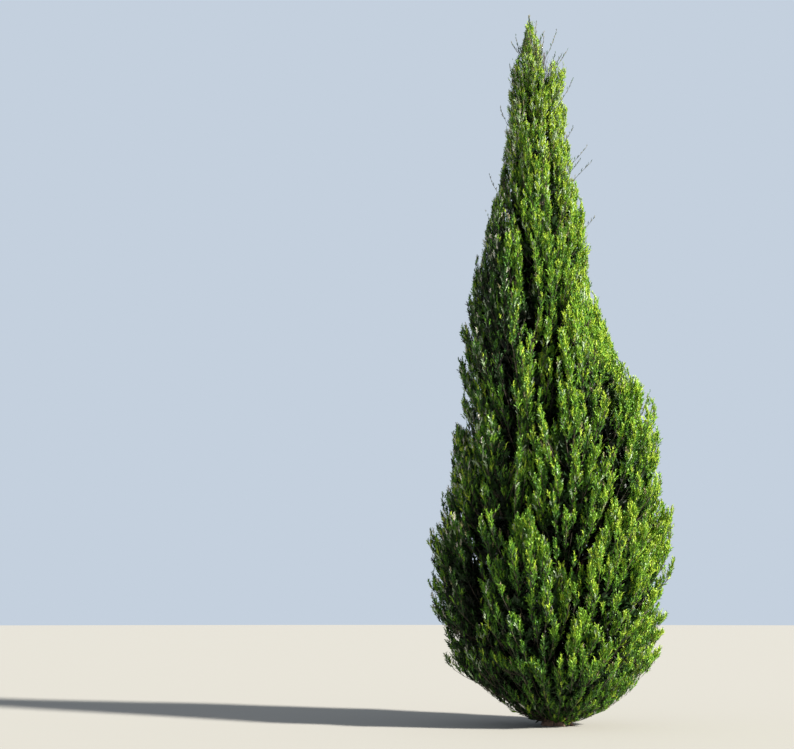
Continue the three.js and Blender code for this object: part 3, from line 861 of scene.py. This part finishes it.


# The needles' plain colours, dealt out by spray. Each of the steps names the least light for its colour. The
# steps are lit and shaded copies of the greens: the lighter ones stand for painted sunlight, and shadow, dim
# and the near-black for painted shade.
NEEDLE_TINTS = {
    "gold": shade(160, 186, 54),
    "fresh": shade(118, 160, 42),
    "leaf": shade(84, 130, 34),
    "deep": shade(54, 96, 30),
    "shadow": shade(34, 66, 24),
    "dim": shade(30, 54, 20),
    # Painted shade: the near-black of the crown's inside
    "inner": shade(15, 28, 11),
    "frost_and_glint": shade(166, 186, 148),
    "cream": shade(204, 202, 186),
    "bronze": shade(134, 130, 92),
}
TINT = {name: i for i, name in enumerate(NEEDLE_TINTS)}
LIGHT_STEPS = (
    ("dim", -0.3), ("shadow", -0.12), ("deep", 0.1), ("leaf", 0.32), ("fresh", 0.58), ("gold", 0.84),
)
SHOOT_TINTS = ("deep", "shadow", "bronze")

# What makes a spray's light: a middle value, its side, its height, its place on the tuft, chance and depth.
# The side's share is painted sunlight on the right and painted shade on the left; the depth's share is
# painted shade deeper in the crown.
SUN_SIDE = unit(np.array([0.85, -0.45, 0.2]))
LIGHT = SimpleNamespace(middle=0.51, sunny=0.27, high=0.16, low=0.06, tip=0.4, chance=0.22, depth=2)
SHADED = -0.2  # sprays that face the sun less than this are on the shaded side
SHADED_CHANCE = 0.6  # how much more chance counts there
HIGH_FROM, HIGH_SPAN = 6, 2
LOW_FROM, LOW_SPAN = 3.2, 1.5
LIGHT_DEPTH = 0.05  # the light falls off below this

# Pale sprays: what share of them by side and height, how deep, and from where on the tuft they are creamy. On
# the shaded side they are partly painted highlight, where light grazes the tips, and the cream ones there are
# painted highlight.
PALE = SimpleNamespace(share=0.05, shaded=0.11, high=0.14, depth=0.1, cream=0.6)
BRONZE = SimpleNamespace(share=0.1, tip=0.85)


def needle_finishes():
    return [
        Finish(f"needles_{name}", Base_Color=colour, Roughness=0.5, Specular_IOR_Level=0.35).material
        for name, colour in NEEDLE_TINTS.items()
    ]


BARK_GREY = shade(140, 130, 118)
BARK_GRAIN = (55, 55, 4)  # fibres per metre, across, across and upwards
BARK_PATCHES = 3.5  # grey patches per metre
BARK_STOPS = (0.32, 0.62)
FIBRE_DEPTH = 0.004


def bark_finish(name, dark, light):
    """Fibrous bark, darker in its furrows, with greyer patches."""
    finish = Finish(name, Specular_IOR_Level=0.25)
    place = finish.out("ShaderNodeTexCoord", {}, {}, "Object")
    strips = finish.out("ShaderNodeMapping", {}, {"Vector": place, "Scale": BARK_GRAIN})
    fibre = finish.out("ShaderNodeTexNoise", {}, {"Vector": strips, "Scale": 1, "Detail": 5})
    patches = finish.out("ShaderNodeTexNoise", {}, {"Vector": place, "Scale": BARK_PATCHES, "Detail": 3})
    stops = list(zip(BARK_STOPS, (dark, light)))
    brown = finish.out("ShaderNodeValToRGB", {"stops": stops}, {"Fac": fibre})
    colour = finish.node("ShaderNodeMix", {"data_type": "RGBA"}, {0: patches * 0.5, 6: brown, 7: BARK_GREY})
    finish.feed(finish.shader.inputs["Base Color"], Wire(finish, colour.outputs[2]))
    finish.feed(finish.shader.inputs["Roughness"], 0.98 - fibre * 0.25)
    bump = finish.out("ShaderNodeBump", {}, {"Strength": 0.6, "Distance": FIBRE_DEPTH, "Height": fibre})
    finish.feed(finish.shader.inputs["Normal"], bump)
    return finish.material


# The bark's relief: long narrow strips, with finer ones laid over them
TRUNK_SIDES = 150
TRUNK_CUTS = 110
RING_CROWDING = 1.4  # more than 1 sets the trunk's rings closer towards the foot
BOUGH_SIDES = 24
BOUGH_CUTS = 22
BOUGH_LENGTH = 0.8  # roughly, for its strips
BARK_DEPTH = 0.009
STRIP_WIDTH = 0.02
STRIP_LENGTH = 0.3
FINE = SimpleNamespace(across=2.3, along=1.7, start=9, depth=0.3)


def bark_relief(along, angle, radius):
    """How far the bark stands in at a place on a limb: long narrow strips with ragged ends."""
    around = Vector((math.cos(angle), math.sin(angle))) * float(radius) / STRIP_WIDTH
    strip = noise.noise(Vector((around.x, around.y, along / STRIP_LENGTH)))
    height = FINE.start + FINE.along * along / STRIP_LENGTH
    fine = noise.noise(Vector((FINE.across * around.x, FINE.across * around.y, height)))
    return -BARK_DEPTH * min(1, radius / TRUNK_RADIUS) * (0.5 + abs(strip) + FINE.depth * fine)


def limb_mesh(bm, sides, cuts, place):
    """Adds a limb to a mesh: a cylinder whose corners are placed by a function of the share of its length and
    the angle."""
    limb = bmesh.new()
    bmesh.ops.create_cone(limb, cap_ends=True, segments=sides, radius1=1, radius2=1, depth=1)
    uprights = [e for e in limb.edges if abs(e.verts[0].co.z - e.verts[1].co.z) > 0.5]
    bmesh.ops.subdivide_edges(limb, edges=uprights, cuts=cuts)
    for vert in limb.verts:
        vert.co = place(vert.co.z + 0.5, math.atan2(vert.co.y, vert.co.x))
    carrier = bpy.data.meshes.new("limb")
    limb.to_mesh(carrier)
    limb.free()
    bm.from_mesh(carrier)
    bpy.data.meshes.remove(carrier)


def bark_piece(name, build, material):
    bm = bmesh.new()
    build(bm)
    bmesh.ops.recalc_face_normals(bm, faces=bm.faces)
    mesh = bpy.data.meshes.new(name)
    bm.to_mesh(mesh)
    bm.free()
    mesh.materials.append(material)
    mesh.shade_smooth()
    return placed(name, mesh)


def build_trunk(bm):
    def place(share, angle):
        z = TRUNK_TOP * share ** RING_CROWDING
        radius = trunk_radius(z, angle)
        radius += bark_relief(z, angle, radius)
        line = axis_at(z)
        return Vector((line[0] + math.cos(angle) * radius, line[1] + math.sin(angle) * radius, z))

    limb_mesh(bm, TRUNK_SIDES, TRUNK_CUTS, place)


def build_boughs(bm):
    for plume in PLUMES:
        if plume.bough is None:
            continue

        def place(share, angle, plume=plume):
            centre = plume.bough.at(share)
            along = plume.bough.heading(share)
            first = unit(plume.across - along * (along @ plume.across))
            second = np.cross(first, along)
            radius = plume.limb * (lerp((1, LIMB_TIP_SHARE), share) + COLLAR * math.exp(-COLLAR_FADE * share))
            radius += bark_relief(share * BOUGH_LENGTH + plume.serial, angle, radius)
            return Vector(centre + (first * math.cos(angle) + second * math.sin(angle)) * radius)

        limb_mesh(bm, BOUGH_SIDES, BOUGH_CUTS, place)


def tints_of(sprays):
    """A tint for each spray: painted sunlight, lighter and more yellow, on the sunny right; painted shade on
    the left and deeper in the crown; painted light and shade along the paths; lighter at the tips; some tips
    pale.
    """
    count = len(sprays.length)
    sunny = unit(sprays.root - axis_at(sprays.root[:, 2])) @ SUN_SIDE
    shaded = sunny < SHADED
    high = np.clip((sprays.root[:, 2] - HIGH_FROM) / HIGH_SPAN, 0, 1)
    low = np.clip((LOW_FROM - sprays.root[:, 2]) / LOW_SPAN, 0, 1)
    chance = rng.normal(0, LIGHT.chance, count) * (1 + SHADED_CHANCE * shaded)
    # Painted sunlight on the right and painted shade on the left
    light = LIGHT.middle + LIGHT.sunny * sunny + LIGHT.high * high + LIGHT.low * low + chance
    light += LIGHT.tip * (sprays.share - 0.5)
    # Painted shade: darker deeper in the crown
    light -= LIGHT.depth * np.maximum(sprays.depth - LIGHT_DEPTH, 0)
    azimuth, _, radius = round_line(sprays.root)
    # Painted light along the lit ridge, painted shade on the left flank and the lower left
    for change, path in PAINTED_LIGHT_AND_SHADE_PATHS:
        light += change * near_path(path, azimuth, radius, sprays.root[:, 2])
    tints = np.full(count, TINT["inner"])
    for name, least in LIGHT_STEPS:
        tints[light > least] = TINT[name]
    # Pale tips: partly the needles' own pale tone, and on the shaded side painted highlight; the cream ones,
    # only away from the sun, are painted highlight
    pale = rng.random(count) < PALE.share + PALE.shaded * shaded + PALE.high * high
    pale &= sprays.depth < PALE.depth
    tints[pale] = TINT["frost_and_glint"]
    tints[pale & (sprays.share > PALE.cream) & (sunny < 0)] = TINT["cream"]
    tints[(rng.random(count) < BRONZE.share) & (sprays.share > BRONZE.tip)] = TINT["bronze"]
    return tints


GAP_TWIGS = gap_twigs()


def groups_of_plumes():
    """The plumes of each tier, side by side in groups that are small enough for one piece."""
    groups = []
    for tier in TIERS:
        plumes = [plume for plume in PLUMES if plume.tier == tier.name]
        pieces = math.ceil(len(plumes) / PLUMES_PER_PIECE)
        for i, chunk in enumerate(np.array_split(np.arange(len(plumes)), pieces)):
            groups.append((f"{tier.name}_{i + 1}", [plumes[n] for n in chunk]))
    return groups


def wood_along(curves, until, radii, sides):
    """Tubes along curves, as far as a place on each, with a ring for each radius."""
    paths = curves.at(np.tile(np.linspace(0, until, len(radii)), (len(curves.start), 1)))
    return tubes(paths, np.tile(radii, (len(paths), 1)), sides)


def twig_wood(twigs, thick):
    radii = np.linspace(TWIG_RADIUS, TWIG_TIP_RADIUS, TWIG_STEPS) * thick
    return wood_along(twigs, TWIG_WOOD, radii, TWIG_SIDES)


class Foliage:
    """The sprays and the twigs of one pair of pieces, gathered as arrays."""

    def __init__(self, name, needles, bark):
        self.name, self.needles, self.bark = name, needles, bark
        self.sprays, self.tints, self.wood, self.leafy_points = [], [], [], []

    def add_sprays(self, sprays, shapes, tints):
        self.sprays.append(needle_mesh(sprays, shapes))
        self.tints.append(np.repeat(tints, len(SPRAY_TRIANGLES)))

    def add_leafy(self, plume, twigs, habit, size, thick):
        """Adds twigs with their tufts, and gives the twigs back, cut off above their last tuft."""
        tufts, wisp, until = tufts_on(plume, twigs, habit, size)
        sprays = fresh_sprays(plume, tufts, wisp, size)
        self.add_sprays(sprays, FRESH_SHAPES, tints_of(sprays))
        self.leafy_points.append(sprays.root + sprays.direction * sprays.length[:, None] / 2)
        twigs = twigs.cut(until)
        self.wood.append(wood_along(tufts, TUFT_WOOD, (TUFT_RADIUS, TUFT_RADIUS / 2), TWIG_SIDES))
        self.wood.append(twig_wood(twigs, thick))
        return twigs

    def add_old(self, plume, twigs, per_twig, splays):
        old = old_sprays(plume, twigs, per_twig, splays)
        # Painted shade by depth: dull green, and deeper the near-black
        self.add_sprays(old, OLD_SHAPES, np.where(old.depth < DIM_DEPTH, TINT["dim"], TINT["inner"]))

    def finish(self, replaced):
        tints = np.concatenate(self.tints)
        piece = piece_from_arrays(f"needles_{self.name}", self.sprays, self.needles, tints)
        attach(piece, "root")
        if replaced:
            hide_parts(*replaced)
        twigs = piece_from_arrays(f"twigs_{self.name}", self.wood, [self.bark])
        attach(twigs, "root")


def build_foliage():
    needles = needle_finishes()
    bark = bark_finish("red_brown_bark", shade(52, 34, 26), shade(136, 102, 80))
    # Twig bark: its own olive-brown, darkened as painted shade of the crown's inside
    shade_darkened_twig_bark = bark_finish("twig_bark", shade(28, 26, 16), shade(66, 58, 42))
    leafy_points = []
    for name, plumes in groups_of_plumes():
        foliage = Foliage(name, needles, shade_darkened_twig_bark)
        for plume in plumes:
            thick = plume.girth / FULL_GIRTH
            size = LEAFY.size * thick ** SIZE_BY_GIRTH
            twigs = foliage.add_leafy(plume, twigs_of(plume), LEAFY, size, thick)
            foliage.add_old(plume, twigs, OLD_PER_TWIG, OLD_SPLAYS)
            places = np.linspace(0, STEM_WOOD, STEM_RINGS)
            radii = plume.limb * LIMB_TIP_SHARE * (1 - STEM_TAPER * places)
            foliage.wood.append(tubes(plume.axis.at(places)[None], radii[None], STEM_SIDES))
        foliage.finish([f"foliage_{plume.name}" for plume in plumes])
        leafy_points += foliage.leafy_points

    foot = Foliage("foot", needles, shade_darkened_twig_bark)
    low = twigs_of_trunk(FOOT_TWIGS, FOOT_RANGE, FOOT_REACH, FOOT_SLOPE)
    foot.add_leafy(None, low, FOOT, FOOT.size, THIN)
    foot.finish([])

    heart = Foliage("heart", needles, shade_darkened_twig_bark)
    dead = twigs_of_trunk(DEAD_TWIGS, DEAD_RANGE, DEAD_REACH, DEAD_SLOPE)
    heart.add_old(None, dead, DEAD_PER_TWIG, DEAD_SPLAYS)
    heart.wood.append(twig_wood(dead, THIN))
    leafy_points = np.concatenate(leafy_points + foot.leafy_points)
    for *zone, habit in FILL_ZONES:
        fill = fill_twigs(leafy_points, *zone)
        heart.add_leafy(None, fill, habit, habit.size, THIN)
    shoots = bare_shoots()
    root, direction, length, _ = offshoots(
        shoots, SHOOT_SPRAYS, SHOOT_BARE, 1, SPRAY_SPLAYS, SHOOT_LENGTHS, SPRAY_RISE
    )
    tints = rng.choice([TINT[name] for name in SHOOT_TINTS], len(length))
    heart.add_sprays(SimpleNamespace(root=root, direction=direction, length=length), FRESH_SHAPES, tints)
    radii = SHOOT_RADIUS * (1 - SHOOT_TAPER * np.linspace(0, 1, TWIG_STEPS))
    heart.wood.append(wood_along(shoots, 1, radii, TWIG_SIDES))
    heart.finish([])

    trunk = bark_piece("trunk_bark", build_trunk, bark)
    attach(trunk, "root")
    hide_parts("trunk")
    boughs = bark_piece("bough_bark", build_boughs, bark)
    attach(boughs, "root")
    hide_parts(*[f"bough_{plume.name}" for plume in PLUMES if plume.bough is not None])


# Camera at the photograph's place, floor and lights
CAMERA_PLACE = (-2.0489, -20, 1.45)
CAMERA_PITCH = math.radians(8.889)
SENSOR = 36
FOCAL_PIXELS = 1516.03
IMAGE_WIDTH = 794
SIGHT = 500


def build_camera():
    data = bpy.data.cameras.new("camera")
    data.sensor_width = SENSOR
    data.lens = FOCAL_PIXELS * SENSOR / IMAGE_WIDTH
    data.clip_end = SIGHT
    camera = placed("camera", data)
    camera.location = CAMERA_PLACE
    camera.rotation_euler = (math.pi / 2 + CAMERA_PITCH, 0, 0)
    bpy.context.scene.camera = camera


FLOOR_RADIUS = 150


def build_stage():
    bm = bmesh.new()
    bmesh.ops.create_circle(bm, cap_ends=True, segments=64, radius=FLOOR_RADIUS)
    mesh = bpy.data.meshes.new("floor")
    bm.to_mesh(mesh)
    bm.free()
    floor_finish = Finish("pale_floor", Base_Color=shade(154, 152, 146), Roughness=0.9)
    mesh.materials.append(floor_finish.material)
    floor = placed("floor", mesh)


def aim(lamp, place, target):
    lamp.location = place
    lamp.rotation_euler = (Vector(target) - Vector(place)).to_track_quat("-Z", "Y").to_euler()


FILL_COLOUR = (0.80, 0.88, 1.0, 1)
FILL_STRENGTH = 0.52
BACKDROP_COLOUR = shade(196, 208, 222)
KEY_PLACE = (14.6, -9, 14)
KEY_TARGET = (0, 0, 4)
KEY_COLOUR = (1, 0.96, 0.88)
KEY_STRENGTH = 12.4
KEY_SOFTNESS = math.radians(6)


def build_lights():
    world = bpy.data.worlds.new("studio")
    world.use_nodes = True
    nodes, links = world.node_tree.nodes, world.node_tree.links
    fill, backdrop = nodes["Background"], nodes.new("ShaderNodeBackground")
    fill.inputs["Color"].default_value = FILL_COLOUR
    fill.inputs["Strength"].default_value = FILL_STRENGTH
    backdrop.inputs["Color"].default_value = BACKDROP_COLOUR
    seen, mix = nodes.new("ShaderNodeLightPath"), nodes.new("ShaderNodeMixShader")
    links.new(seen.outputs["Is Camera Ray"], mix.inputs[0])
    links.new(fill.outputs[0], mix.inputs[1])
    links.new(backdrop.outputs[0], mix.inputs[2])
    links.new(mix.outputs[0], nodes["World Output"].inputs["Surface"])
    bpy.context.scene.world = world
    data = bpy.data.lights.new("key", "SUN")
    data.energy = KEY_STRENGTH
    data.angle = KEY_SOFTNESS
    data.color = KEY_COLOUR
    aim(placed("key", data), KEY_PLACE, KEY_TARGET)
    bpy.context.scene.view_settings.view_transform = "Standard"


build_foliage()
build_camera()
build_stage()
build_lights()
